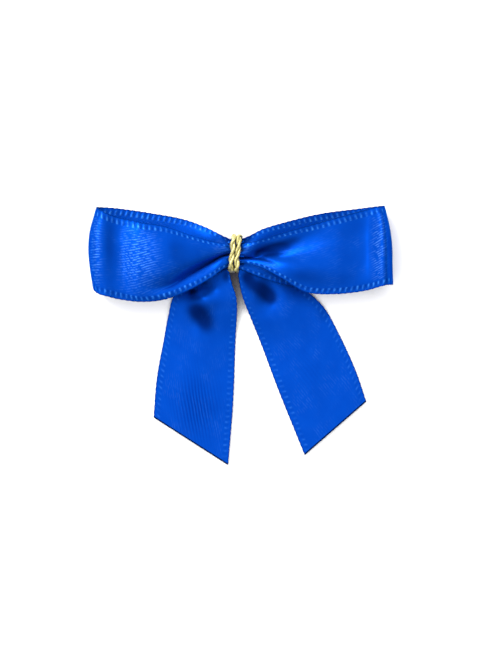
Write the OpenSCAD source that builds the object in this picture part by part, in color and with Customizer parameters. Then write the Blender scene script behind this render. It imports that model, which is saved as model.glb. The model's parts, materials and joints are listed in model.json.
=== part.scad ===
// Small pre-made gift bow: one length of satin ribbon, cinched by two turns of
// twisted metallic cord, with a foam adhesive pad and its release liner behind.
// The bow lies on its back. +X is its right, +Y its top, +Z its front.
// The origin is on the back of the release liner, behind the middle of the waist.

/* [Ribbon] */
// Width of the ribbon
ribbon_w = 15.8; // [14:0.2:18]
// Thickness of the ribbon
ribbon_th = 0.35; // [0.25:0.05:0.4]
// Reach of the left loop from the waist
left_reach = 29.4; // [26:0.2:34]
// Reach of the right loop from the waist
right_reach = 31; // [26:0.2:34]
// Height of the front layer of both loops at its highest
loop_h = 8.9; // [8:0.1:12]

/* [Tails] */
// Lean of the left tail away from straight down
left_lean = -5; // [-12:1:0]
// Length of the outer edge of the left tail below its bend
left_outer_len = 22.8; // [15:0.2:40]
// Length of the inner edge of the left tail below its bend
left_inner_len = 31.6; // [15:0.2:40]
// Lean of the right tail away from straight down
right_lean = 23; // [15:1:30]
// Length of the outer edge of the right tail below its bend
right_outer_len = 23.6; // [15:0.2:40]
// Length of the inner edge of the right tail below its bend
right_inner_len = 28.6; // [15:0.2:40]

/* [Waist and cord] */
// Width of the gathered waist under the cord
waist_w = 5.3; // [4.5:0.1:6]
// Thickness of the gathered waist
waist_h = 2.4; // [2:0.1:2.8]
// Number of pleats side by side in the waist
pleats = 5; // [4:1:6]
// Diameter of the metallic cord
cord_d = 1.12; // [0.9:0.02:1.14]
// Number of turns of the cord round the waist
turns = 2; // [1:1:2]
// Slant of the turns across the waist
cord_slant = -6; // [-10:1:0]

/* [Adhesive pad] */
// Width of the pad along the bow
pad_w = 8.4; // [7:0.2:9]
// Height of the pad across the bow
pad_d = 6; // [5:0.2:6.4]
// Thickness of the release liner
liner_th = 0.12; // [0.08:0.02:0.2]

/* [Hidden] */
blue = "royalblue";
gold = "gold";

// The stack behind the ribbon, from the back of the release liner upwards
liner_gap = 0.01;
pad_z = liner_th + liner_gap;
waist_z = 2.9;
waist_len = 3.8;
cord_gap = 0.06;
cord_pitch = cord_d + 0.03;
cord_low_z = waist_z - cord_gap - cord_d / 2;
cord_high_z = waist_z + waist_h + cord_gap + cord_d / 2;
cord_reach_y = waist_w / 2 + cord_gap + cord_d / 2;
cord_corner = 1.1;
cord_shift = -0.2;
pad_y = -0.4;
pad_th = cord_low_z - cord_d / 2 - 0.03 - pad_z;
pad_corner = 1.5;
knot_r = 0.66;
knot_y = -0.6;
knot_z = 1;
end_len = 2.2;
pocket_floor = 0.1;
liner_margin = 0.4;
tab_len = 1.6;

// Each loop edge runs along the front layer, round the fold and back along the
// rear layer. A row is [reach, across, height] as shares of the loop's reach,
// the ribbon's width and the loop's height.
left_upper_edge = [
    [0.075, 0.08, 0.54], [0.27, 0.19, 0.72], [0.51, 0.32, 0.87], [0.75, 0.42, 0.97],
    [0.90, 0.475, 0.95], [0.99, 0.53, 0.52], [0.94, 0.58, 0.15], [0.71, 0.56, 0.03],
    [0.51, 0.49, 0.10], [0.31, 0.41, 0.21], [0.17, 0.30, 0.31], [0.075, 0.16, 0.44]
];
left_lower_edge = [
    [0.075, -0.15, 0.54], [0.27, -0.42, 0.70], [0.51, -0.58, 0.84], [0.75, -0.61, 0.93],
    [0.90, -0.55, 0.91], [0.985, -0.49, 0.50], [0.945, -0.455, 0.15], [0.71, -0.45, 0.03],
    [0.51, -0.455, 0.10], [0.31, -0.40, 0.21], [0.17, -0.30, 0.31], [0.075, -0.16, 0.44]
];
right_upper_edge = [
    [0.07, 0.02, 0.54], [0.26, 0.18, 0.72], [0.52, 0.35, 0.88], [0.71, 0.44, 0.97],
    [0.88, 0.515, 0.94], [0.965, 0.57, 0.52], [0.91, 0.595, 0.15], [0.71, 0.57, 0.03],
    [0.52, 0.51, 0.10], [0.32, 0.42, 0.21], [0.18, 0.32, 0.31], [0.07, 0.16, 0.44]
];
right_lower_edge = [
    [0.07, -0.14, 0.54], [0.26, -0.28, 0.69], [0.52, -0.48, 0.84], [0.71, -0.505, 0.92],
    [0.90, -0.455, 0.90], [1.00, -0.405, 0.50], [0.95, -0.405, 0.15], [0.71, -0.42, 0.03],
    [0.52, -0.43, 0.10], [0.32, -0.38, 0.21], [0.18, -0.29, 0.31], [0.07, -0.16, 0.44]
];
loop_steps = 44;
loop_cols = 6;

// The tails bend up about these points, clear of the loops in front of them
bend_z = 0.27;
bend_gap = 0.25;
left_bend = [-6.6, -10.4];
right_bend = [9.6, -10.9];
root_half_w = 0.415 * ribbon_w;
tail_half_w = 0.49 * ribbon_w;
flare_len = 12;
tail_steps = 14;
tail_cols = 5;

// The roots of the tails fan out from the waist, over the pad, to those bends
root_steps = 12;
left_root_outer = [[-1.92, 0.6, 3.2], [-6.5, -3.2, 1.5], [-11, -7.2, 0.6]];
left_root_inner = [[-1.92, -2.4, 3.2], [-1.95, -4.3, 2.8], [-0.6, -8, 0.9]];
right_root_inner = [[1.92, -2.4, 3.2], [1.5, -5, 2.5], [2, -9.6, 0.9]];
right_root_outer = [[1.92, 0.6, 3.2], [6.5, -2.4, 1.5], [12, -5.4, 0.6]];

function mix(a, b, t) = a + (b - a) * t;
function unit(v) = v / norm(v);
function flatten(rows) = [for (row = rows) each row];

// Smooth curve through points, at t from 0 to 1
function curve(points, t) =
    let (
        last = len(points) - 1,
        s = t * last,
        k = min(floor(s), last - 1),
        f = s - k,
        a = points[max(k - 1, 0)],
        b = points[k],
        c = points[k + 1],
        d = points[min(k + 2, last)]
    )
    0.5 * (2 * b + (c - a) * f + (2 * a - 5 * b + 4 * c - d) * f * f + (3 * b - a - 3 * c + d) * f * f * f);

// Grid of points between two edges of a ribbon
function strip(edge_a, edge_b, steps, cols) = [
    for (i = [0:steps]) [
        for (j = [0:cols]) mix(curve(edge_a, i / steps), curve(edge_b, i / steps), j / cols)
    ]
];

// Direction square to the strip at one point of its grid
function strip_normal(grid, i, j) =
    let (
        rows = len(grid) - 1,
        cols = len(grid[0]) - 1,
        along = grid[min(i + 1, rows)][j] - grid[max(i - 1, 0)][j],
        across = grid[i][min(j + 1, cols)] - grid[i][max(j - 1, 0)]
    )
    unit(cross(along, across));

function strip_side(grid, shift) = [
    for (i = [0:len(grid) - 1]) [
        for (j = [0:len(grid[0]) - 1]) grid[i][j] + shift * strip_normal(grid, i, j)
    ]
];

// Edge points of a loop in the bow's frame, with side -1 for left and 1 for right
function loop_edge(shares, side, reach) = [
    for (s = shares) [side * s[0] * reach, s[1] * ribbon_w, s[2] * loop_h]
];

// One point of a tail, with across to its right and down along its length
function tail_point(bend, lean, across, down) = [
    bend[0] + across * cos(lean) + down * sin(lean),
    bend[1] + across * sin(lean) - down * cos(lean),
    bend_z
];

function tail_half(down) = mix(root_half_w, tail_half_w, min(1, down / flare_len));

// A tail's edge, with side -1 for its left edge and 1 for its right edge
function tail_edge(bend, lean, side, length) = [
    for (i = [0:tail_steps])
        let (down = mix(bend_gap, length, i / tail_steps))
        tail_point(bend, lean, side * tail_half(down), down)
];

// Closed ribbon of even thickness around a grid of points
module ribbon_shell(grid) {
    n = len(grid[0]);
    rows = len(grid) - 1;
    cols = n - 1;
    low = (rows + 1) * n;
    points = concat(
        flatten(strip_side(grid, ribbon_th / 2)),
        flatten(strip_side(grid, -ribbon_th / 2))
    );
    front = [
        for (i = [0:rows - 1], j = [0:cols - 1])
            let (a = i * n + j)
            each [[a, a + n, a + n + 1], [a, a + n + 1, a + 1]]
    ];
    back = [for (f = front) [f[2] + low, f[1] + low, f[0] + low]];
    rim = concat(
        [for (j = [0:cols]) j],
        [for (i = [1:rows]) i * n + cols],
        [for (j = [cols - 1:-1:0]) rows * n + j],
        [for (i = [rows - 1:-1:1]) i * n]
    );
    side = [
        for (k = [0:len(rim) - 1])
            let (p = rim[k], q = rim[(k + 1) % len(rim)])
            each [[p, q, q + low], [p, q + low, p + low]]
    ];
    polyhedron(points = points, faces = concat(front, back, side));
}

// Point on the rounded oblong that a turn of cord follows, in the Y-Z plane
function turn_point(angle) =
    let (
        half_y = cord_reach_y - cord_corner,
        half_z = (cord_high_z - cord_low_z) / 2 - cord_corner,
        mid_z = (cord_high_z + cord_low_z) / 2,
        c = cos(angle),
        s = sin(angle)
    )
    [0, sign(c) * half_y + cord_corner * c, mid_z + sign(s) * half_z + cord_corner * s];

// Closed tube along a ring of points that lies square to the X axis
module ring_tube(path, r, sides) {
    count = len(path);
    points = [
        for (i = [0:count - 1])
            let (
                ahead = unit(path[(i + 1) % count] - path[(i + count - 1) % count]),
                out = cross(ahead, [1, 0, 0])
            )
            for (k = [0:sides - 1])
                path[i] + r * (cos(360 * k / sides) * out + sin(360 * k / sides) * [1, 0, 0])
    ];
    faces = [
        for (i = [0:count - 1], k = [0:sides - 1])
            let (
                a = i * sides + k,
                b = i * sides + (k + 1) % sides,
                c = ((i + 1) % count) * sides + (k + 1) % sides,
                d = ((i + 1) % count) * sides + k
            )
            each [[a, b, c], [a, c, d]]
    ];
    polyhedron(points = points, faces = faces);
}

module rounded_plate(w, d, r, h) {
    linear_extrude(height = h)
        union() {
            square([w - 2 * r, d], center = true);
            square([w, d - 2 * r], center = true);
            for (x = [-1, 1], y = [-1, 1])
                translate([x * (w / 2 - r), y * (d / 2 - r)])
                    circle(r = r, $fn = 48);
        }
}

// One standing fold of the gathered ribbon, running along X
module pleat(y, r) {
    translate([-waist_len / 2, y, waist_z])
        rotate([90, 0, 90])
            linear_extrude(height = waist_len)
                union() {
                    translate([0, waist_h / 2])
                        square([2 * r, waist_h - 2 * r], center = true);
                    for (z = [r, waist_h - r])
                        translate([0, z])
                            circle(r = r, $fn = 32);
                }
}

module ribbon_waist() {
    pitch = waist_w / pleats;
    color(blue)
        union() {
            for (i = [0:pleats - 1])
                pleat((i + 0.5) * pitch - waist_w / 2, pitch / 2);
            translate([-waist_len / 2, pitch / 2 - waist_w / 2, waist_z + pitch / 2])
                cube([waist_len, waist_w - pitch, waist_h - pitch]);
        }
}

module loop(upper, lower, side, reach) {
    color(blue)
        ribbon_shell(strip(
            loop_edge(side < 0 ? lower : upper, side, reach),
            loop_edge(side < 0 ? upper : lower, side, reach),
            loop_steps, loop_cols
        ));
}

module ribbon_left_loop() {
    loop(left_upper_edge, left_lower_edge, -1, left_reach);
}

module ribbon_right_loop() {
    loop(right_upper_edge, right_lower_edge, 1, right_reach);
}

module tail_root(left_edge, right_edge, bend, lean) {
    left_end = tail_point(bend, lean, -root_half_w, -bend_gap);
    right_end = tail_point(bend, lean, root_half_w, -bend_gap);
    color(blue)
        ribbon_shell(strip(
            concat(left_edge, [left_end]), concat(right_edge, [right_end]), root_steps, tail_cols
        ));
}

module ribbon_left_root() {
    tail_root(left_root_outer, left_root_inner, left_bend, left_lean);
}

module ribbon_right_root() {
    tail_root(right_root_inner, right_root_outer, right_bend, right_lean);
}

module tail(bend, lean, left_len, right_len) {
    color(blue)
        ribbon_shell(strip(
            tail_edge(bend, lean, -1, left_len), tail_edge(bend, lean, 1, right_len), tail_steps, tail_cols
        ));
}

module ribbon_left_tail() {
    tail(left_bend, left_lean, left_outer_len, left_inner_len);
}

module ribbon_right_tail() {
    tail(right_bend, right_lean, right_inner_len, right_outer_len);
}

module cord_wrap() {
    path = [for (i = [0:39]) turn_point(4.5 + 9 * i)];
    color(gold)
        translate([cord_shift, 0, 0])
            rotate([0, 0, cord_slant])
                for (i = [0:turns - 1])
                    translate([(i - (turns - 1) / 2) * cord_pitch, 0, 0])
                        ring_tube(path, cord_d / 2, 10);
}

module cord_knot() {
    color(gold)
        translate([0, knot_y, knot_z])
            union() {
                for (a = [90, 210, 330])
                    rotate([0, 0, a])
                        translate([knot_r * 0.6, 0, 0])
                            sphere(r = knot_r, $fn = 32);
            }
}

module cord_ends() {
    start = knot_r * 1.3;
    color(gold)
        for (side = [-1, 1])
            translate([side * start, knot_y, knot_z])
                rotate([0, side * 90, 0])
                    cylinder(h = end_len, d = cord_d, $fn = 32);
}

module adhesive_pad() {
    pocket_r = knot_r * 1.7;
    slot_w = cord_d + 0.1;
    slot_z = knot_z - slot_w / 2;
    color("white")
        difference() {
            translate([0, pad_y, pad_z])
                rounded_plate(pad_w, pad_d, pad_corner, pad_th);
            translate([0, knot_y, pad_z + pocket_floor])
                cylinder(h = pad_th, r = pocket_r, $fn = 48);
            translate([-pocket_r - end_len - 0.1, knot_y - slot_w / 2, slot_z])
                cube([2 * (pocket_r + end_len + 0.1), slot_w, pad_th]);
        }
}

module release_liner() {
    w = pad_w + 2 * liner_margin;
    d = pad_d + 2 * liner_margin;
    color("whitesmoke")
        translate([0, pad_y, 0])
            union() {
                rounded_plate(w, d, pad_corner + liner_margin, liner_th);
                translate([-w / 2 - tab_len, -d / 4, 0])
                    cube([tab_len + 1, d / 2, liner_th]);
            }
}

ribbon_waist();
ribbon_left_loop();
ribbon_right_loop();
ribbon_left_root();
ribbon_right_root();
ribbon_left_tail();
ribbon_right_tail();
cord_wrap();
cord_knot();
cord_ends();
adhesive_pad();
release_liner();
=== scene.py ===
"""Small satin gift bow cinched with metallic cord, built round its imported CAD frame."""
import json
import math

import bpy
import numpy as np
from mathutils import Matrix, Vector


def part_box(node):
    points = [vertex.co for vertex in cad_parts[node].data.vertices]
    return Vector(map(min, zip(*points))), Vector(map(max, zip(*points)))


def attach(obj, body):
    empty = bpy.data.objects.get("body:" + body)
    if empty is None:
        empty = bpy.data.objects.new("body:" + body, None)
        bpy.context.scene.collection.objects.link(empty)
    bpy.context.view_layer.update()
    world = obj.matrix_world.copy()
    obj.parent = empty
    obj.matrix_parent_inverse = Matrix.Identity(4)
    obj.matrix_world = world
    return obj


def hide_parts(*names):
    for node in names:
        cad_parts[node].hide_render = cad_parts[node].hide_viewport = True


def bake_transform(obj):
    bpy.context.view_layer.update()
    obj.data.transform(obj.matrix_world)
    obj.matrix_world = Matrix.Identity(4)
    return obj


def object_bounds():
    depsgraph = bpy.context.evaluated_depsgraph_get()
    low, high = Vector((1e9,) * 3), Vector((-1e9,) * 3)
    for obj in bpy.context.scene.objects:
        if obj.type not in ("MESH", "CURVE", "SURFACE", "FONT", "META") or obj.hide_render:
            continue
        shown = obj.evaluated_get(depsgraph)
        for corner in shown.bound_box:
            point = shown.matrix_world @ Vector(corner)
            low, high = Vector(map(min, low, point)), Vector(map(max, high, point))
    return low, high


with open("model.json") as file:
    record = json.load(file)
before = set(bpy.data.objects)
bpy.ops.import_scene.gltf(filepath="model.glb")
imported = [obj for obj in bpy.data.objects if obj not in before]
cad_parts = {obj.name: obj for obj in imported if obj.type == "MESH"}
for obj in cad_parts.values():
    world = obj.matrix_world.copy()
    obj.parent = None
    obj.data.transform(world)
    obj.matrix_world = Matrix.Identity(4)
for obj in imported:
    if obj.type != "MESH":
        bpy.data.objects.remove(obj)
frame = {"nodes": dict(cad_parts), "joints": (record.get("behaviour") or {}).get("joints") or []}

cad_low, cad_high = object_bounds()

# The bow is drawn in millimetres at this width, and one factor fits it to the frame.
DRAWN_W = 60.58
UNIT = (cad_high[0] - cad_low[0]) / DRAWN_W
JOINTS = {joint["name"]: joint for joint in frame["joints"]}

# Ribbon, in millimetres. Ribs are sewn along both edges, in a strip from RIB_OUTER to RIB_INNER.
RIBBON_W = 15.8
RIBBON_TH = 0.24
RIB_PITCH = 1.15
RIB_INNER = 1.35
RIB_OUTER = 0.3
# How strongly the ribs show on the tails; they show fully on the loops
TAIL_SEWN = 0.3
# Pitch of the twill's bright lines and of its dark grooves, and how far they lean from the run
TWILL_PITCH = 0.46
WOVEN_PITCH = 0.7
TWILL_LEAN = math.radians(16)
# Stands for the distance to the cut edge on ribbon that has none
UNCUT = 10.0
# Lengths before and after a joint's axis, at which hinge_points() finds two points along the ribbon
LOOP_SPAN = (0.4, 4.0)
TAIL_SPAN = (2.5, 3.5)

# Ribbon mesh: millimetres from row to row, points by which sections match up, and columns across
ROW_STEP = 0.14
POINTS = 9
COLUMNS = 72

# Cord, in millimetres
CORD_D = 1.12
CORD_TWIST = 4.8
CORD_SLANT = math.radians(-6)

# What the light and the camera aim at, in metres
AIM = Vector((0.0, -0.01, 0.005))


def box_mm(node):
    """Lowest and highest corner of a CAD node, in drawn millimetres."""
    low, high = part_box(node)
    return np.array(low) / UNIT, np.array(high) / UNIT


# ---------------------------------------------------------------- curves and grids
def smooth(a, b, x):
    """0 below a, 1 above b and smooth between."""
    t = np.clip((x - a) / (b - a), 0, 1)
    return t * t * (3 - 2 * t)


def spline(points, t):
    """Smooth curve through points; t counts points, so 2.5 is half-way from point 2 to point 3."""
    p = np.array(points, float)
    gaps = np.sqrt(np.maximum(np.linalg.norm(np.diff(p, axis=0), axis=1), 1e-6))
    knots = np.concatenate([[0], np.cumsum(gaps)])
    slopes = np.gradient(p, knots, axis=0)
    k = np.clip(np.asarray(t).astype(int), 0, len(p) - 2)
    f = (np.asarray(t, float) - k)[:, None]
    h = (knots[k + 1] - knots[k])[:, None]
    start, end, leave, arrive = p[k], p[k + 1], slopes[k] * h, slopes[k + 1] * h
    return ((2 * f**3 - 3 * f**2 + 1) * start + (f**3 - 2 * f**2 + f) * leave
            + (3 * f**2 - 2 * f**3) * end + (f**3 - f**2) * arrive)


def run_length(path):
    """Distance along a path at each of its points."""
    return np.concatenate([[0], np.cumsum(np.linalg.norm(np.diff(path, axis=0), axis=1))])


def even(points, count):
    """Points spaced evenly along the smooth curve through points."""
    fine = spline(points, np.linspace(0, len(points) - 1, 600))
    run = run_length(fine)
    want = np.linspace(0, run[-1], count)
    return np.stack([np.interp(want, run, fine[:, i]) for i in range(3)], axis=1)


def loft(sections):
    """Grid of points through sections. Sections of POINTS points match up point by point."""
    matched = [s if len(s) == POINTS else even(s, POINTS) for s in sections]
    shares = np.linspace(0, POINTS - 1, COLUMNS + 1)
    rails = np.array([spline(s, shares) for s in matched])
    rows = int(run_length(even(rails[:, COLUMNS // 2], 400))[-1] / ROW_STEP)
    return np.stack([even(rails[:, j], rows + 1) for j in range(COLUMNS + 1)], axis=1)


def unit(vectors):
    """Vectors in the same directions, all of length 1."""
    return vectors / np.maximum(np.linalg.norm(vectors, axis=-1, keepdims=True), 1e-9)


def grid_normals(grid):
    """Directions square to the surface that a grid of points makes."""
    return unit(np.cross(np.gradient(grid, axis=0), np.gradient(grid, axis=1)))


# ---------------------------------------------------------------- meshes
def piece(name, points, faces, uv_maps, slot_name, crease=55):
    """One mesh object from drawn millimetres, with its UV maps given by vertex.

    Its edges look sharp where its faces meet at more than crease degrees.
    """
    mesh = bpy.data.meshes.new(name)
    mesh.from_pydata((np.asarray(points) * UNIT).tolist(), [], faces)
    mesh.polygons.foreach_set("use_smooth", [True] * len(mesh.polygons))
    mesh.set_sharp_from_angle(angle=math.radians(crease))
    corners = np.empty(len(mesh.loops), dtype=np.int64)
    mesh.loops.foreach_get("vertex_index", corners)
    for map_name, uv in uv_maps.items():
        layer = mesh.uv_layers.new(name=map_name)
        layer.data.foreach_set("uv", np.asarray(uv)[corners].astype(np.float32).ravel())
    mesh.materials.append(MATERIALS[slot_name])
    obj = bpy.data.objects.new(name, mesh)
    bpy.context.scene.collection.objects.link(obj)
    return obj


def sheet_shell(name, grid, half, uv_maps, slot_name):
    """Closed shell of a sheet: its grid moved half a thickness to each side, and joined at the rim."""
    rows, cols = grid.shape[:2]
    count = rows * cols
    offset = grid_normals(grid) * half
    points = np.concatenate([(grid + offset).reshape(-1, 3), (grid - offset).reshape(-1, 3)])
    index = np.arange(count).reshape(rows, cols)
    a, b = index[:-1, :-1].ravel(), index[1:, :-1].ravel()
    c, d = index[1:, 1:].ravel(), index[:-1, 1:].ravel()
    rim = np.concatenate([index[0, :-1], index[:-1, -1], index[-1, :0:-1], index[:0:-1, 0]])
    after = np.roll(rim, -1)
    faces = np.concatenate([
        np.stack([a, b, c, d], 1),
        np.stack([d, c, b, a], 1) + count,
        np.stack([rim, after, after + count, rim + count], 1),
    ])
    doubled = {k: np.concatenate([uv.reshape(-1, 2)] * 2) for k, uv in uv_maps.items()}
    return piece(name, points, faces.tolist(), doubled, slot_name)


def side_vectors(path, closed):
    """Tangents, and at each point a vector square to the tangent that turns as little as it can."""
    step = np.roll(path, -1, 0) - np.roll(path, 1, 0) if closed else np.gradient(path, axis=0)
    tangent = unit(step)
    side = np.empty_like(path)
    lean = np.eye(3)[np.argmin(np.abs(tangent[0]))]
    for i, t in enumerate(tangent):
        lean = unit(lean - t * np.dot(lean, t))
        side[i] = lean
    if closed:
        gap = math.atan2(np.dot(np.cross(side[-1], side[0]), tangent[0]), np.dot(side[-1], side[0]))
        turn = np.linspace(0, gap, len(path))[:, None]
        side = side * np.cos(turn) + np.cross(tangent, side) * np.sin(turn)
    return tangent, side


def tube(path, radius, sides, closed):
    """Points, faces and run UVs of a strand whose surface is ridged by its wound filaments."""
    ridges, ridge_turn, ridge_lift = 5, 3.2, 0.08
    tangent, side = side_vectors(path, closed)
    binormal = np.cross(tangent, side)
    run = run_length(path)
    angle = np.linspace(0, 2 * np.pi, sides, endpoint=False)[None, :]
    lift = radius * (1 + ridge_lift * np.cos(ridges * angle - ridge_turn * run[:, None]))
    sideways = (lift * np.cos(angle))[..., None] * side[:, None]
    upward = (lift * np.sin(angle))[..., None] * binormal[:, None]
    points = (path[:, None] + (sideways + upward)).reshape(-1, 3)
    uv = np.stack(np.broadcast_arrays(run[:, None], angle * radius), axis=-1).reshape(-1, 2)
    count = len(path)
    faces = []
    for i in range(count if closed else count - 1):
        j = (i + 1) % count
        for k in range(sides):
            m = (k + 1) % sides
            faces.append((i * sides + k, i * sides + m, j * sides + m, j * sides + k))
    if not closed:
        faces.append(tuple(range(sides))[::-1])
        faces.append(tuple((count - 1) * sides + k for k in range(sides)))
    return points, faces, uv


def strands(name, tubes, slot_name):
    """One piece made of several tubes."""
    points, faces, uv = [], [], []
    start = 0
    for tube_points, tube_faces, tube_uv in tubes:
        points.append(tube_points)
        uv.append(tube_uv)
        faces += [tuple(start + v for v in face) for face in tube_faces]
        start += len(tube_points)
    return piece(name, np.concatenate(points), faces, {"run": np.concatenate(uv)}, slot_name, crease=60)


def twisted(path, closed, ply_r, offset, twist, sides, phase=0.0):
    """Tubes of two plies twisted round a cord's centre line, both at the same offset from it."""
    tangent, side = side_vectors(path, closed)
    binormal = np.cross(tangent, side)
    turn = 2 * np.pi * run_length(path)[:, None] / twist + phase
    tubes = []
    for opposite in (0.0, np.pi):
        outward = np.cos(turn + opposite) * side + np.sin(turn + opposite) * binormal
        tubes.append(tube(path + offset * outward, ply_r, sides, closed))
    return tubes


# ---------------------------------------------------------------- materials
class Nodes:
    """A material's node tree, with short calls to add and join nodes."""

    def __init__(self, name):
        self.material = bpy.data.materials.new(name)
        self.material.use_nodes = True
        self.tree = self.material.node_tree
        self.tree.nodes.clear()
        self.shader = self.add("ShaderNodeBsdfPrincipled")
        output = self.add("ShaderNodeOutputMaterial")
        self.tree.links.new(self.shader.outputs[0], output.inputs[0])

    def add(self, kind, **settings):
        node = self.tree.nodes.new(kind)
        for key, value in settings.items():
            setattr(node, key, value)
        return node

    def put(self, node, key, value):
        """Sets a socket to a value, or links it to another socket."""
        if isinstance(value, bpy.types.NodeSocket):
            self.tree.links.new(value, node.inputs[key])
        else:
            node.inputs[key].default_value = value

    def math(self, operation, a, b=0.0, c=0.0):
        node = self.add("ShaderNodeMath", operation=operation)
        for i, value in enumerate((a, b, c)):
            self.put(node, i, value)
        return node.outputs[0]

    def times(self, a, *rest):
        """The product of all its values."""
        for b in rest:
            a = self.math("MULTIPLY", a, b)
        return a

    def wave(self, value, pitch, kind="SINE"):
        """Rises to 1 and falls to 0 once in every pitch."""
        turn = self.times(value, 2 * math.pi / pitch)
        return self.math("MULTIPLY_ADD", self.math(kind, turn), 0.5, 0.5)

    def step(self, value, low, high):
        """0 below low, 1 above high and smooth between; falls instead if low is above high."""
        node = self.add("ShaderNodeMapRange", interpolation_type="SMOOTHSTEP")
        self.put(node, 0, value)
        self.put(node, 1, min(low, high))
        self.put(node, 2, max(low, high))
        self.put(node, 3, float(low > high))
        self.put(node, 4, float(low < high))
        return node.outputs[0]

    def uv(self, map_name):
        """The two coordinates of a UV map, and the map as a vector."""
        vector = self.add("ShaderNodeUVMap", uv_map=map_name).outputs[0]
        parts = self.add("ShaderNodeSeparateXYZ")
        self.put(parts, 0, vector)
        return parts.outputs[0], parts.outputs[1], vector

    def mix(self, share, a, b):
        """Colour a at share 0 and b at share 1; each is a socket, or red, green and blue."""
        node = self.add("ShaderNodeMix", data_type="RGBA")
        self.put(node, 0, share)
        self.put(node, 6, a if isinstance(a, bpy.types.NodeSocket) else (*a, 1.0))
        self.put(node, 7, b if isinstance(b, bpy.types.NodeSocket) else (*b, 1.0))
        return node.outputs[2]

    def noise(self, vector, scale, detail=3.0, roughness=0.55, stretch=None, turn=0.0):
        """Noise at a point; stretch multiplies the point's coordinates after a turn about Z."""
        if stretch:
            mapping = self.add("ShaderNodeMapping")
            self.put(mapping, "Vector", vector)
            self.put(mapping, "Rotation", (0.0, 0.0, turn))
            self.put(mapping, "Scale", stretch)
            vector = mapping.outputs[0]
        node = self.add("ShaderNodeTexNoise")
        self.put(node, "Vector", vector)
        self.put(node, "Scale", scale)
        self.put(node, "Detail", detail)
        self.put(node, "Roughness", roughness)
        return node.outputs["Fac"]

    def hollow(self, reach, shallow, deep):
        """0 in the open, 1 deep in a gap; walls further off than reach millimetres don't count."""
        node = self.add("ShaderNodeAmbientOcclusion", samples=8)
        self.put(node, "Distance", reach * UNIT)
        return self.step(node.outputs["AO"], shallow, deep)

    def bump(self, height, strength, distance):
        """A normal bumped by a height, whose 1 stands for the distance, in metres."""
        node = self.add("ShaderNodeBump")
        self.put(node, "Strength", strength)
        self.put(node, "Distance", distance)
        self.put(node, "Height", height)
        return node.outputs[0]

    def finish(self, **values):
        """Sets the shader's sockets, named with _ for a space, and gives the material."""
        for key, value in values.items():
            self.put(self.shader, key.replace("_", " "), value)
        return self.material


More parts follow.
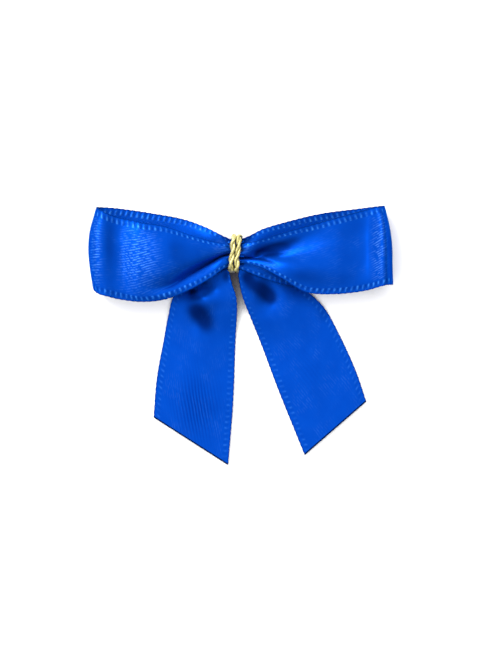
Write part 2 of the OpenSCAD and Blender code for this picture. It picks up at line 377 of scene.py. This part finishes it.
def satin(name):
    """Royal-blue satin: long shiny floats, patches of diagonal twill with painted glints, ribs, painted
    shade in creases, and a dark rim of painted shade along the edges.

    It reads what ribbon() stores: the UV maps run (along, across), edge (distance to the cut edge,
    strength of the ribs) and a third map that holds painted light (a painted highlight above 0,
    painted shade below 0) and the woven twill. Distances are in drawn millimetres.
    """
    n = Nodes(name)
    along, across, run = n.uv("run")
    to_cut, sewn, _ = n.uv("edge")
    # The third map: painted light, a painted highlight above 0 and painted shade below 0; then the woven
    # twill
    painted_light, woven, _ = n.uv("wear")
    # Distance in from the nearer edge
    inset = n.math("SUBTRACT", RIBBON_W / 2, n.math("ABSOLUTE", n.math("SUBTRACT", across, RIBBON_W / 2)))
    strip = n.times(n.step(inset, RIB_OUTER - 0.1, 1.0), n.step(inset, RIB_INNER + 0.1, RIB_INNER - 0.15))
    rib = n.wave(along, RIB_PITCH, "COSINE")
    uneven = n.math("MULTIPLY_ADD", n.step(n.noise(run, 1.4, 2.0), 0.38, 0.62), 0.8, 0.2)
    stitches = n.times(n.math("POWER", rib, 3.0), strip, uneven, sewn)
    between = n.times(n.math("SUBTRACT", 1.0, rib), strip, sewn)
    # Dark rim: painted shade along both edges, and darker at the cut edge
    rim = n.math("MAXIMUM", n.times(n.step(inset, 0.24, 0.10), 0.5), n.step(to_cut, 0.38, 0.26))
    # Twill lines lean across the run, bend a little, and show as painted glints where the painted light is
    # above 0, and faintly in random patches
    lean = n.math("SUBTRACT", n.times(across, math.cos(TWILL_LEAN)), n.times(along, math.sin(TWILL_LEAN)))
    bend = n.times(n.noise(run, 0.18, 1.0), 0.5)
    bent = n.math("ADD", lean, bend)
    lines = n.wave(bent, TWILL_PITCH)
    grooves = n.wave(bent, WOVEN_PITCH)
    dashes = n.step(n.noise(run, 1.0, 1.0, 0.5, (0.9, 2.6, 1.0), -TWILL_LEAN), 0.40, 0.60)
    painted_glint_share = n.math("MAXIMUM", painted_light, n.times(n.step(n.noise(run, 0.17, 2.0), 0.44, 0.66), 0.15))
    twill = n.times(n.math("POWER", lines, 1.6), dashes, painted_glint_share, n.step(inset, 1.2, 2.0))
    # Painted shade where the painted light is below 0
    painted_shade_share = n.step(painted_light, -0.1, -0.9)
    threads = n.noise(run, 1.0, 3.0, 0.7, (0.9, 8.0, 1.0))
    blotch = n.noise(run, 0.35, 2.0)
    body = n.mix(blotch, (0.0008, 0.044, 0.35), (0.0011, 0.056, 0.41))
    threaded = n.mix(n.times(threads, 0.22), body, (0.0004, 0.024, 0.22))
    painted_glint_colour = n.mix(n.times(twill, 0.50), threaded, (0.085, 0.28, 0.78))
    grooved = n.mix(n.times(grooves, woven), painted_glint_colour, (0.0003, 0.018, 0.18))
    # Painted shade deep in creases and gaps
    crease_shade_painted = n.mix(n.times(n.hollow(3.5, 0.40, 0.12), 0.75), grooved, (0.0003, 0.008, 0.09))
    # The painted shade of the marks below 0
    dark = n.mix(n.times(painted_shade_share, 0.85), crease_shade_painted, (0.0002, 0.005, 0.06))
    # Darker between the ribs and lighter on them: partly their thread, partly painted shade between and a
    # painted highlight on the crests
    edged = n.mix(n.times(between, 0.35), dark, (0.0003, 0.014, 0.15))
    ribbed = n.mix(n.times(stitches, 0.62), edged, (0.040, 0.24, 0.75))
    colour = n.mix(rim, ribbed, (0.0003, 0.006, 0.05))
    grain = n.math("MULTIPLY_ADD", threads, 0.5, n.times(twill, 0.9))
    return n.finish(
        Base_Color=colour,
        Roughness=n.math("MULTIPLY_ADD", threads, 0.12, 0.32),
        Normal=n.bump(grain, strength=0.5, distance=0.00006),
        Tangent=n.add("ShaderNodeTangent", direction_type="UV_MAP", uv_map="run").outputs[0],
        Metallic=0.7,
        Anisotropic=0.6,
        Anisotropic_Rotation=0.25,
        Specular_IOR_Level=0.0,
        Specular_Tint=(0.03, 0.42, 0.60, 1.0))


def metallic_thread(name):
    """Pale gold metallic yarn: bright foil filaments with darker ones between them, and painted shade in
    the gaps.
    """
    n = Nodes(name)
    _, _, run = n.uv("run")
    foil = n.noise(run, 1.5, 3.0, 0.7, (1.2, 7.0, 1.0), math.radians(28))
    shade = n.add("ShaderNodeValToRGB")
    n.put(shade, 0, foil)
    stops = shade.color_ramp.elements
    stops[0].position, stops[0].color = 0.34, (0.12, 0.09, 0.008, 1.0)
    stops[1].position, stops[1].color = 0.62, (0.72, 0.66, 0.34, 1.0)
    stops.new(0.47).color = (0.47, 0.42, 0.14, 1.0)
    # Painted shade in the gaps between strands and turns
    colour = n.mix(n.times(n.hollow(3.0, 0.60, 0.20), 0.85), shade.outputs[0], (0.030, 0.022, 0.002))
    return n.finish(
        Base_Color=colour,
        Roughness=n.math("MULTIPLY_ADD", foil, -0.2, 0.42),
        Normal=n.bump(foil, strength=0.5, distance=0.00006),
        Metallic=0.7,
        Specular_IOR_Level=0.3)


def foam(name):
    """White closed-cell foam, dark where the bow leaves it little light."""
    n = Nodes(name)
    cells_per_metre = 4200.0
    cells = n.add("ShaderNodeTexVoronoi", feature="F1")
    n.put(cells, "Vector", n.add("ShaderNodeTexCoord").outputs["Object"])
    n.put(cells, "Scale", cells_per_metre)
    depth = cells.outputs["Distance"]
    cell_colour = n.mix(depth, (0.90, 0.90, 0.88), (0.72, 0.72, 0.70))
    colour = n.mix(n.times(n.hollow(8.0, 0.90, 0.45), 0.95), cell_colour, (0.10, 0.08, 0.14))
    normal = n.bump(depth, strength=0.5, distance=0.0001)
    return n.finish(Base_Color=colour, Roughness=0.85, Normal=normal)


def liner_paper(name):
    """Glazed release paper, with faint fibres."""
    n = Nodes(name)
    fibre = n.noise(n.add("ShaderNodeTexCoord").outputs["Object"], 1500.0, 5.0, 0.7)
    colour = n.mix(fibre, (0.80, 0.78, 0.70), (0.92, 0.91, 0.86))
    normal = n.bump(fibre, strength=0.25, distance=0.00003)
    return n.finish(Base_Color=colour, Roughness=0.35, Normal=normal)


def surface_white(name):
    """Plain white tabletop, with painted shade in the narrow gaps under the bow."""
    n = Nodes(name)
    tone = n.noise(n.add("ShaderNodeTexCoord").outputs["Object"], 30.0, 2.0)
    open_colour = n.mix(tone, (0.93, 0.93, 0.93), (0.95, 0.95, 0.95))
    colour = n.mix(n.times(n.hollow(8.0, 0.52, 0.26), 0.94), open_colour, (0.06, 0.05, 0.10))
    return n.finish(Base_Color=colour, Roughness=0.6)


MATERIALS = {
    "satin_ribbon": satin("satin_ribbon"),
    "metallic_cord": metallic_thread("metallic_cord"),
    "foam_pad": foam("foam_pad"),
    "liner_paper": liner_paper("liner_paper"),
    "tabletop": surface_white("tabletop"),
}


# ---------------------------------------------------------------- ribbon
def at(x, rows):
    """A section square to the X axis, from its (y, z) pairs."""
    return [(x, y, z) for y, z in rows]


def left_loop_sections():
    """Front layer from the waist out, end fold, rear layer back; each from the upper edge down."""
    return [
        at(-0.3, [(1.6, 4.8), (1.1, 4.4), (0.6, 4.9), (0.1, 4.3), (-0.3, 3.8),
                  (-0.8, 4.7), (-1.3, 4.3), (-1.8, 4.7), (-2.3, 4.3)]),
        at(-2.4, [(1.7, 5.1), (1.3, 5.5), (0.7, 5.5), (0.1, 5.2), (-0.5, 3.8),
                  (-0.9, 4.7), (-1.4, 5.1), (-2.2, 5.2), (-3.0, 4.9)]),
        at(-5.0, [(2.2, 5.5), (1.6, 6.0), (0.6, 6.2), (-0.7, 5.8), (-1.8, 4.0),
                  (-2.3, 4.9), (-3.0, 5.4), (-3.9, 5.7), (-4.9, 5.6)]),
        at(-9.0, [(3.4, 6.2), (2.6, 6.9), (1.0, 7.3), (-2.2, 6.9), (-4.1, 4.9),
                  (-4.6, 5.6), (-5.3, 6.1), (-6.2, 6.4), (-7.2, 6.3)]),
        at(-14.0, [(5.1, 7.2), (4.0, 8.0), (1.2, 8.8), (-4.0, 8.4), (-6.8, 6.8),
                   (-7.4, 7.1), (-8.0, 7.3), (-8.6, 7.2), (-9.2, 6.8)]),
        at(-19.0, [(6.0, 7.8), (4.7, 8.2), (1.6, 8.5), (-3.6, 8.4), (-6.9, 8.0),
                   (-7.8, 7.8), (-8.6, 7.5), (-9.2, 7.2), (-9.7, 6.7)]),
        at(-23.6, [(7.1, 7.5), (3.4, 7.4), (-1.0, 7.4), (-5.4, 7.3), (-8.0, 7.1), (-9.2, 6.6)]),
        [(-26.3, 8.1, 8.2), (-26.6, 4.5, 8.4), (-26.7, 1.0, 8.4), (-26.5, -3.5, 8.1), (-26.0, -8.6, 7.2)],
        [(-27.3, 8.7, 7.6), (-28.2, 4.5, 7.8), (-28.4, 1.0, 7.8), (-28.1, -3.5, 7.5), (-27.3, -8.2, 6.7)],
        [(-27.8, 9.1, 5.2), (-29.1, 4.5, 5.4), (-29.4, 1.0, 5.4), (-29.1, -3.0, 5.1), (-28.4, -7.3, 4.6)],
        [(-27.4, 9.3, 1.5), (-28.4, 4.5, 1.9), (-28.6, 1.0, 1.3), (-28.4, -3.0, 1.3), (-28.0, -6.9, 1.4)],
        at(-24.0, [(9.1, 0.4), (6.0, 0.45), (1.0, 0.3), (-6.9, 0.35)]),
        at(-17.0, [(8.1, 0.6), (5.0, 0.6), (0.5, 0.5), (-7.3, 0.8)]),
        at(-10.0, [(6.7, 1.6), (4.0, 1.6), (0.2, 1.6), (-6.6, 1.9)]),
        at(-5.0, [(4.7, 2.9), (3.0, 3.2), (0.0, 2.9), (-3.0, 3.2), (-5.0, 2.8)]),
        at(-2.4, [(3.3, 3.6), (2.0, 3.3), (0.0, 3.8), (-2.0, 3.3), (-3.4, 3.5)]),
        at(-0.3, [(2.4, 3.9), (1.5, 3.4), (0.0, 4.0), (-1.5, 3.4), (-2.6, 3.7)]),
    ]


def right_loop_sections():
    """Front layer from the waist out, end fold, rear layer back; each from the lower edge up."""
    return [
        at(0.2, [(-1.9, 4.4), (-1.5, 4.8), (-1.1, 4.3), (-0.9, 3.7), (-0.6, 4.4),
                 (-0.1, 4.9), (0.5, 4.4), (1.1, 4.9), (1.7, 4.6)]),
        at(2.4, [(-2.1, 4.5), (-1.8, 4.7), (-1.4, 4.5), (-1.0, 3.5), (-0.6, 4.2),
                 (-0.1, 4.8), (0.5, 5.2), (1.3, 5.5), (1.9, 5.2)]),
        at(5.0, [(-2.8, 5.3), (-2.3, 5.5), (-1.6, 5.2), (-1.1, 4.4), (-0.5, 4.1),
                 (0.2, 4.2), (1.1, 5.1), (1.9, 5.8), (2.7, 6.3)]),
        at(9.0, [(-4.9, 6.1), (-4.0, 6.4), (-3.0, 6.4), (-1.9, 6.2), (-0.8, 6.3),
                 (0.2, 5.9), (1.4, 5.9), (2.7, 6.6), (3.9, 7.2)]),
        at(14.0, [(-7.8, 5.4), (-6.4, 5.9), (-4.4, 6.7), (-2.2, 7.1), (-0.2, 7.2),
                  (1.6, 7.0), (3.0, 7.1), (4.3, 7.6), (5.3, 8.0)]),
        at(19.8, [(-8.2, 5.5), (-6.8, 6.0), (-4.4, 7.0), (-1.6, 7.6), (1.0, 7.8),
                  (3.0, 7.8), (4.4, 7.9), (5.8, 8.0), (6.9, 8.1)]),
        at(26.0, [(-7.5, 5.9), (-5.0, 6.7), (-1.6, 6.9), (1.8, 7.0), (5.4, 7.2), (8.6, 7.7)]),
        [(29.7, -6.5, 7.7), (29.7, -2.6, 8.3), (29.6, 1.6, 8.6), (29.3, 5.5, 8.6), (28.8, 9.2, 8.2)],
        [(31.3, -6.3, 4.6), (31.2, -2.6, 5.0), (31.1, 1.6, 5.2), (30.6, 5.5, 5.2), (29.6, 9.4, 5.1)],
        [(30.4, -6.2, 1.5), (30.3, -2.6, 1.4), (30.2, 1.6, 1.4), (29.6, 5.5, 1.5), (28.8, 9.5, 1.6)],
        at(24.5, [(-6.4, 0.35), (1.2, 0.2), (9.0, 0.35)]),
        at(17.0, [(-6.9, 0.8), (0.8, 0.5), (8.0, 0.6)]),
        at(10.0, [(-6.4, 1.9), (0.2, 1.6), (6.3, 1.6)]),
        at(5.0, [(-4.8, 2.8), (-3.0, 3.2), (0.0, 2.9), (3.0, 3.2), (4.7, 2.9)]),
        at(2.4, [(-3.8, 3.3), (-2.0, 3.3), (0.0, 3.8), (2.0, 3.3), (3.3, 3.6)]),
        at(0.2, [(-3.0, 3.6), (-1.5, 3.4), (0.0, 4.0), (1.5, 3.4), (2.5, 3.9)]),
    ]


def left_tail_sections():
    """From the waist down to the slanted cut, each section from the left edge to the right."""
    return [
        [(-1.9, 0.4, 3.0), (-1.6, -1.0, 2.7), (-1.4, -2.4, 3.0)],
        [(-5.0, -2.2, 2.1), (-3.2, -3.2, 2.5), (-1.3, -3.9, 2.9)],
        [(-9.6, -5.6, 0.9), (-6.6, -6.3, 1.5), (-3.6, -6.5, 2.3), (-0.8, -6.2, 3.1)],
        [(-12.6, -8.8, 0.5), (-9.4, -9.3, 1.3), (-6.2, -9.4, 2.2), (-3.0, -9.2, 2.5), (0.0, -8.6, 2.7)],
        [(-13.6, -12.4, 0.3), (-10.2, -12.4, 1.0), (-6.8, -12.2, 1.6), (-3.4, -11.8, 1.8),
         (0.2, -11.2, 1.9)],
        [(-14.5, -17.0, 0.3), (-11.0, -17.0, 0.5), (-7.2, -17.0, 0.8), (-3.4, -17.0, 0.6),
         (-0.1, -17.0, 0.3)],
        [(-16.0, -25.4, 0.3), (-8.2, -27.6, 0.6), (-0.6, -30.0, 0.3)],
        [(-16.6, -33.0, 0.3), (-9.1, -37.8, 0.4), (-1.6, -42.6, 0.3)],
    ]


def right_tail_sections():
    """From the waist down to the slanted cut, each section from the left edge to the right."""
    return [
        [(1.2, -2.4, 3.0), (1.4, -1.0, 2.7), (1.8, 0.4, 3.0)],
        [(0.5, -3.9, 2.9), (2.9, -3.4, 2.5), (5.2, -2.0, 2.0)],
        [(0.8, -6.6, 3.1), (3.6, -6.8, 2.3), (6.6, -6.4, 1.6), (9.8, -4.9, 0.9)],
        [(1.5, -9.4, 2.6), (4.8, -9.6, 2.3), (8.2, -9.3, 1.8), (11.3, -8.5, 1.1), (13.9, -7.4, 0.5)],
        [(2.8, -12.6, 1.6), (6.4, -12.8, 1.6), (10.4, -12.6, 1.4), (14.2, -12.0, 0.9), (17.6, -10.8, 0.3)],
        [(4.8, -17.6, 0.3), (8.8, -17.7, 0.6), (12.8, -17.4, 0.8), (16.8, -16.9, 0.5), (20.6, -16.0, 0.3)],
        [(8.4, -27.2, 0.3), (16.6, -25.8, 0.6), (24.0, -23.4, 0.3)],
        [(13.8, -40.6, 0.3), (20.0, -35.2, 0.4), (26.2, -29.8, 0.3)],
    ]


def waves(along, across, seed):
    """Slow, shallow undulation of a soft ribbon."""
    rng = np.random.default_rng(seed)
    count, height = 9, 0.009
    out = np.zeros_like(along)
    for _ in range(count):
        angle, phase = rng.uniform(0, 2 * math.pi, 2)
        size = rng.uniform(4.0, 13.0)
        place = along * math.cos(angle) + across * math.sin(angle)
        out += size / count * np.sin(2 * np.pi * place / size + phase)
    return out * height


def patch(grid, x, y, reach_x, reach_y):
    """1 at (x, y), fading out smoothly over the given reach."""
    return np.exp(-((grid[..., 0] - x) / reach_x) ** 2 - ((grid[..., 1] - y) / reach_y) ** 2)


def patches(grid, marks):
    """Sum of patches, each given as (x, y, reach_x, reach_y, strength)."""
    total = np.zeros(grid.shape[:2])
    for *place, strength in marks:
        total += strength * patch(grid, *place)
    return total


def ribbon(name, sections, seed, cut, puffs, painted_light, woven):
    """Ribbed satin ribbon through sections, and its length.

    A cut ribbon is a tail, whose last section is its cut edge. Puffs, the painted light marks and the
    woven marks are marks as patches() takes them. Puffs lift the ribbon. Painted light marks above 0
    are painted highlights, and below 0 they are painted shade. Woven marks show the twill as dark grooves.
    """
    rib_rise, rib_sink, rim_bead, cut_bead, scallop = 0.07, 0.03, 0.02, 0.05, 0.07
    grid = loft(sections)
    marks = np.stack([patches(grid, painted_light), patches(grid, woven)], -1)
    grid[..., 2] += patches(grid, puffs)
    along = np.stack([run_length(grid[:, j]) for j in range(grid.shape[1])], axis=1)
    length = along[-1].mean()
    if not cut:
        # Round a loop's end fold the ribs stay square to the ribbon's edges.
        along = np.repeat(np.linspace(0, length, len(grid))[:, None], grid.shape[1], axis=1)
    from_edge = np.stack([run_length(row) for row in grid])
    across = RIBBON_W * from_edge / from_edge[:, -1:]
    to_cut = along[-1:] - along if cut else np.full_like(along, UNCUT)
    inset = np.minimum(across, RIBBON_W - across)
    rib = 0.5 + 0.5 * np.cos(2 * np.pi * along / RIB_PITCH)
    strip = smooth(0.12, RIB_OUTER + 0.05, inset) * (1 - smooth(RIB_INNER - 0.25, RIB_INNER, inset))
    bead = rim_bead * (1 - smooth(0.0, 0.22, inset)) + cut_bead * (1 - smooth(0.1, 0.3, to_cut))
    sewn = TAIL_SEWN if cut else 1.0
    half = RIBBON_TH / 2 + sewn * strip * (rib_rise * rib**3 - rib_sink) + bead
    outward = np.where(across > RIBBON_W / 2, 1.0, -1.0)
    swing = scallop * (rib - 0.5) * (1 - smooth(0.0, 0.8, inset)) * outward
    grid += grid_normals(grid) * waves(along, across, seed)[..., None]
    grid += unit(np.gradient(grid, axis=1)) * swing[..., None]
    edge = np.stack([to_cut, np.full_like(along, sewn)], -1)
    maps = {"run": np.stack([along, across], -1), "edge": edge, "wear": marks}
    obj = sheet_shell(name, grid, half[..., None], maps, "satin_ribbon")
    return obj, length


def hinge_points(joint_name, before, after):
    """Points before and after a joint's axis along the ribbon that bends there, in metres."""
    joint = JOINTS[joint_name]
    centre, axis = Vector(joint["pos_m"]), Vector(joint["axis"])
    out = Vector((-axis.y, axis.x, 0.0)).normalized()
    if out.dot(centre) < 0:
        out.negate()
    return tuple(centre - out * before * UNIT), tuple(centre + out * after * UNIT)


def add_ribbon(side, span, sections, seed, cut=False, puffs=(), painted_light=(), woven=()):
    """One loop or tail, in place of its CAD parts, which it hides."""
    obj, length = ribbon(f"ribbon_{side}_satin", sections, seed, cut, puffs, painted_light, woven)
    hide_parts(f"ribbon_{side}")
    if cut:
        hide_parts(f"ribbon_{side.replace('tail', 'root')}")
    start, end = hinge_points(f"{side}_lift", *span)
    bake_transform(obj)


def build_loops():
    """Both loops, with painted highlights where the satin bulges and painted shade in the valleys between.
    """
    # Painted light for each loop: above 0 a painted highlight, below 0 painted shade
    left_painted_light = [
        # Glints on the end fold, on the bulge and by the cord
        (-27.8, 0.0, 1.1, 8.0, 1.0), (-19.5, -1.0, 4.5, 6.0, 0.9), (-2.8, 1.0, 1.6, 1.6, 0.8),
        # Shade beside the end fold, and from the bulge to the cord
        (-25.0, 0.5, 2.0, 6.0, -0.5), (-12.5, 0.5, 2.5, 3.5, -0.4)]
    right_painted_light = [
        # Glints on the end fold, on the bulge, by the cord and on the ridge
        (28.6, 1.0, 1.2, 8.0, 1.0), (15.0, 0.5, 6.0, 2.5, 0.15), (2.4, 0.8, 1.2, 1.6, 0.8),
        (6.4, -2.8, 2.2, 0.8, 0.5),
        # Painted shade in the valley above the ridge, from the cord outwards
        (4.6, -0.2, 1.7, 1.1, -0.9), (6.6, 0.6, 1.9, 1.3, -0.9), (9.0, 1.3, 2.0, 1.3, -0.8),
        (11.8, 2.5, 2.3, 1.2, -0.55), (8.6, -0.7, 2.2, 0.8, -0.4), (10.8, 0.9, 2.2, 1.0, -0.3),
        # Shade under the bulge
        (14.0, -4.4, 5.5, 2.3, -0.45)]
    add_ribbon("left_loop", LOOP_SPAN, left_loop_sections(), seed=3, painted_light=left_painted_light)
    add_ribbon("right_loop", LOOP_SPAN, right_loop_sections(), seed=5, painted_light=right_painted_light)


def build_tails():
    """Both tails, puffed and with painted shade where they leave the loops, and plainly woven lower down.
    """
    add_ribbon(
        "left_tail", TAIL_SPAN, left_tail_sections(), seed=7, cut=True,
        puffs=[(-6.6, -9.6, 2.3, 2.3, 0.8), (-7.6, -13.6, 2.0, 2.0, -0.6), (-8.8, -7.4, 0.8, 0.8, -0.5)],
        # Painted shade where the tail leaves the loop and beside the cord
        painted_light=[(-8.1, -11.3, 2.2, 2.1, -0.8), (-6.1, -13.9, 2.2, 2.5, -0.8), (-8.9, -7.3, 1.1, 1.3, -0.9),
              (-6.4, -5.9, 1.6, 0.7, -0.6), (-1.9, -4.6, 1.0, 1.6, -0.7)],
        woven=[(-8.0, -31.0, 3.8, 6.0, 0.7)])
    add_ribbon(
        "right_tail", TAIL_SPAN, right_tail_sections(), seed=11, cut=True,
        puffs=[(4.4, -6.4, 1.9, 1.9, 0.4), (6.4, -9.6, 2.2, 2.2, -1.0)],
        # Painted shade where the tail leaves the loop, beside the cord and along its outer edge
        painted_light=[(3.6, -6.4, 2.4, 1.6, -0.7), (5.7, -7.9, 2.1, 1.9, -0.7), (7.2, -9.2, 1.6, 1.8, -0.6),
              (17.6, -11.8, 2.0, 2.8, -0.4), (2.2, -4.6, 1.4, 1.3, -0.8)],
        woven=[(14.0, -24.0, 4.0, 5.0, 0.1)])


def build_waist():
    """The gathered middle of the ribbon, in deep pleats under the cord."""
    low, high = box_mm("ribbon_waist")
    rows, cols, pleats, depth = 24, 160, 5, 0.75
    end_gap, side_gap, pinch = 0.3, 0.25, 0.12
    s, t = np.meshgrid(np.linspace(0, 1, rows), np.linspace(0, 1, cols), indexing="ij")
    x = low[0] + end_gap + (high[0] - low[0] - 2 * end_gap) * s
    y = (high[1] - side_gap) * (1 - pinch * np.sin(math.pi * s)) * (1 - 2 * t)
    half_z = (high[2] - low[2]) / 2 - RIBBON_TH
    z = (low[2] + high[2]) / 2 + depth * half_z * np.sin(2 * np.pi * pleats * t + 0.3 * x)
    run = np.stack([x - x[0, 0], t * RIBBON_W], -1)
    edge = np.stack([np.full_like(x, UNCUT), np.ones_like(x)], -1)
    maps = {"run": run, "edge": edge, "wear": np.zeros_like(run)}
    obj = sheet_shell("ribbon_waist_satin", np.stack([x, y, z], -1), RIBBON_TH / 2, maps, "satin_ribbon")
    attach(obj, "root")
    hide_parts("ribbon_waist")


# ---------------------------------------------------------------- cord
def oblong(half_y, half_z, corner, count):
    """Closed rounded oblong in the Y-Z plane, centred on the origin and evenly spaced."""
    angle = np.linspace(0, 2 * np.pi, 721)
    c, s = np.cos(angle), np.sin(angle)
    ring = np.stack([
        np.zeros_like(angle),
        np.sign(np.round(c, 9)) * (half_y - corner) + corner * c,
        np.sign(np.round(s, 9)) * (half_z - corner) + corner * s], 1)
    run = run_length(ring)
    want = np.linspace(0, run[-1], count, endpoint=False)
    return np.stack([np.interp(want, run, ring[:, i]) for i in range(3)], 1), run[-1]


def cord_piece(name, tubes, node):
    """One gold piece that rides with the waist and stands for a CAD node."""
    obj = strands(name, tubes, "metallic_cord")
    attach(obj, "root")
    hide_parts(node)


def build_wrap():
    """Two turns of twisted cord round the waist."""
    low, high = box_mm("cord_wrap")
    corner, count, nesting = 1.1, 300, 0.04
    half = (high - low) / 2 - CORD_D / 2
    ring, length = oblong(half[1], half[2], corner, count)
    twist = length / round(length / CORD_TWIST)
    share = np.linspace(0, 2 * np.pi, len(ring), endpoint=False)
    cos, sin = math.cos(CORD_SLANT), math.sin(CORD_SLANT)
    tubes = []
    for turn, place in enumerate((-0.5, 0.5)):
        # A turn wanders a little from side to side as it goes round
        x = place * (CORD_D - nesting) + 0.07 * np.sin(5 * share + 2 * turn)
        x += 0.03 * np.sin(11 * share + turn)
        y, z = ring[:, 1], ring[:, 2]
        path = np.stack([x * cos - y * sin, x * sin + y * cos, z], 1) + (low + high) / 2
        tubes += twisted(path, True, CORD_D * 0.28, CORD_D * 0.23, twist, sides=18, phase=1.9 * turn)
    cord_piece("cord_wrap_gold", tubes, "cord_wrap")


def build_knot():
    """A small overhand knot behind the waist, and the two trimmed ends that leave it."""
    low, high = box_mm("cord_knot")
    ends_low, ends_high = box_mm("cord_ends")
    mid = (low + high) / 2
    strand_room, rise = 0.3, 0.36
    size = (high[0] - low[0]) / 2 - strand_room
    t = np.linspace(0, 2 * np.pi, 200, endpoint=False)
    trefoil = np.stack([
        size * (np.sin(t) + 2 * np.sin(2 * t)) / 3,
        size * (np.cos(t) - 2 * np.cos(2 * t)) / 3,
        -rise * np.sin(3 * t)], 1) + mid
    knot = twisted(trefoil, True, ply_r=0.22, offset=0.17, twist=1.6, sides=12)
    cord_piece("cord_knot_gold", knot, "cord_knot")
    tubes = []
    for side, reach in ((-1, ends_low[0]), (1, ends_high[0])):
        offsets = [(0.5, 0.0, 0.0), (1.4, 0.1, 0.05), (2.2, -0.08, -0.05), (side * reach, 0.05, 0.0)]
        path = even([(side * x, mid[1] + y, mid[2] + z) for x, y, z in offsets], 60)
        tubes += twisted(path, False, CORD_D * 0.25, CORD_D * 0.24, twist=2.4, sides=14, phase=side)
    cord_piece("cord_ends_gold", tubes, "cord_ends")


# ---------------------------------------------------------------- pad and liner
def rounded_outline(w, d, r, steps=10):
    """Rounded oblong in the X-Y plane, centred on the origin."""
    out = []
    for cx, cy, start in ((1, 1, 0), (-1, 1, 90), (-1, -1, 180), (1, -1, 270)):
        for k in range(steps + 1):
            a = math.radians(start + 90 * k / steps)
            out.append((cx * (w / 2 - r) + r * math.cos(a), cy * (d / 2 - r) + r * math.sin(a)))
    return out


def build_pad():
    """Foam pad whose sides bulge a little, hollowed for the knot, over its paper liner."""
    low, high = box_mm("adhesive_pad")
    mid = (low + high) / 2
    w, d, h = high - low
    corner, inset, lip = 1.45, 0.24, 0.1
    # Up the sides as (share of height, bulge), then into the hollow as (shrink, drop)
    sides = [(0.0, 0.0), (0.12, 0.05), (0.5, 0.12), (0.88, 0.05), (1.0, -0.05)]
    hollow = [(0.86, 0.0), (0.62, 0.15), (0.40, 0.75), (0.2, 1.3)]
    points = []
    for share, bulge in sides:
        points += [(mid[0] + x, mid[1] + y, low[2] + share * h)
                   for x, y in rounded_outline(w - inset + 2 * bulge, d - inset + 2 * bulge, corner)]
    for shrink, drop in hollow:
        points += [(mid[0] + x * shrink, mid[1] + y * shrink, high[2] - drop)
                   for x, y in rounded_outline(w - inset - lip, d - inset - lip, corner)]
    n = len(points) // (len(sides) + len(hollow))
    last = len(points) - n
    faces = [(i + k, i + (k + 1) % n, i + n + (k + 1) % n, i + n + k)
             for i in range(0, last, n) for k in range(n)]
    faces.append(tuple(range(n))[::-1])
    faces.append(tuple(last + k for k in range(n)))
    pad = piece("adhesive_pad_foam", points, faces, {}, "foam_pad")
    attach(pad, "root")
    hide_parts("adhesive_pad")
    liner = frame["nodes"]["release_liner"]
    liner.data.materials.clear()
    liner.data.materials.append(MATERIALS["liner_paper"])


# ---------------------------------------------------------------- stage, lights and camera
def build_table():
    """White tabletop just under the bow's lowest point."""
    half = 1.5
    level = min(cad_low[2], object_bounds()[0][2])
    mesh = bpy.data.meshes.new("tabletop")
    corners = [(x, y, level) for x, y in ((-half, -half), (half, -half), (half, half), (-half, half))]
    mesh.from_pydata(corners, [], [(0, 1, 2, 3)])
    mesh.materials.append(MATERIALS["tabletop"])
    table = bpy.data.objects.new("tabletop", mesh)
    bpy.context.scene.collection.objects.link(table)


def build_key_light():
    """Square softbox at the upper left, aimed at the bow."""
    place = Vector((-0.30, 0.36, 0.48))
    light = bpy.data.lights.new("key", "AREA")
    light.size = 0.28
    light.energy = 3.6
    obj = bpy.data.objects.new("key", light)
    obj.location = place
    obj.rotation_euler = (AIM - place).to_track_quat("-Z", "Y").to_euler()
    bpy.context.scene.collection.objects.link(obj)


def build_walls():
    """White surroundings, brighter on the key's side than opposite it."""
    world = bpy.data.worlds.new("studio")
    world.use_nodes = True
    tree = world.node_tree
    towards = tree.nodes.new("ShaderNodeVectorMath")
    towards.operation = "DOT_PRODUCT"
    towards.inputs[1].default_value = (-0.5, 0.6, 0.62)
    tree.links.new(tree.nodes.new("ShaderNodeTexCoord").outputs["Generated"], towards.inputs[0])
    strength = tree.nodes.new("ShaderNodeMapRange")
    strength.interpolation_type = "SMOOTHSTEP"
    strength.inputs["From Min"].default_value = -1.0
    strength.inputs["To Min"].default_value = 0.25
    strength.inputs["To Max"].default_value = 2.00
    tree.links.new(towards.outputs["Value"], strength.inputs["Value"])
    background = tree.nodes["Background"]
    tree.links.new(strength.outputs["Result"], background.inputs["Strength"])
    background.inputs["Color"].default_value = (1.0, 1.0, 1.0, 1.0)
    bpy.context.scene.world = world


def build_camera():
    """Straight above, as far off as a long lens needs to frame 100 by 133 mm."""
    lens, sensor, view_h = 200.0, 36.0, 0.1334
    off_centre = Vector((0.0028, -0.0061, 0.0))
    camera = bpy.data.cameras.new("camera")
    camera.lens = lens
    camera.sensor_width = sensor
    camera.clip_end = 10
    obj = bpy.data.objects.new("camera", camera)
    obj.location = AIM + off_centre + Vector((0.0, 0.0, view_h * lens / sensor))
    bpy.context.scene.collection.objects.link(obj)
    bpy.context.scene.camera = obj


build_camera()
build_loops()
build_tails()
build_waist()
build_wrap()
build_knot()
build_pad()
build_table()
build_key_light()
build_walls()
bpy.context.scene.view_settings.view_transform = "Standard"
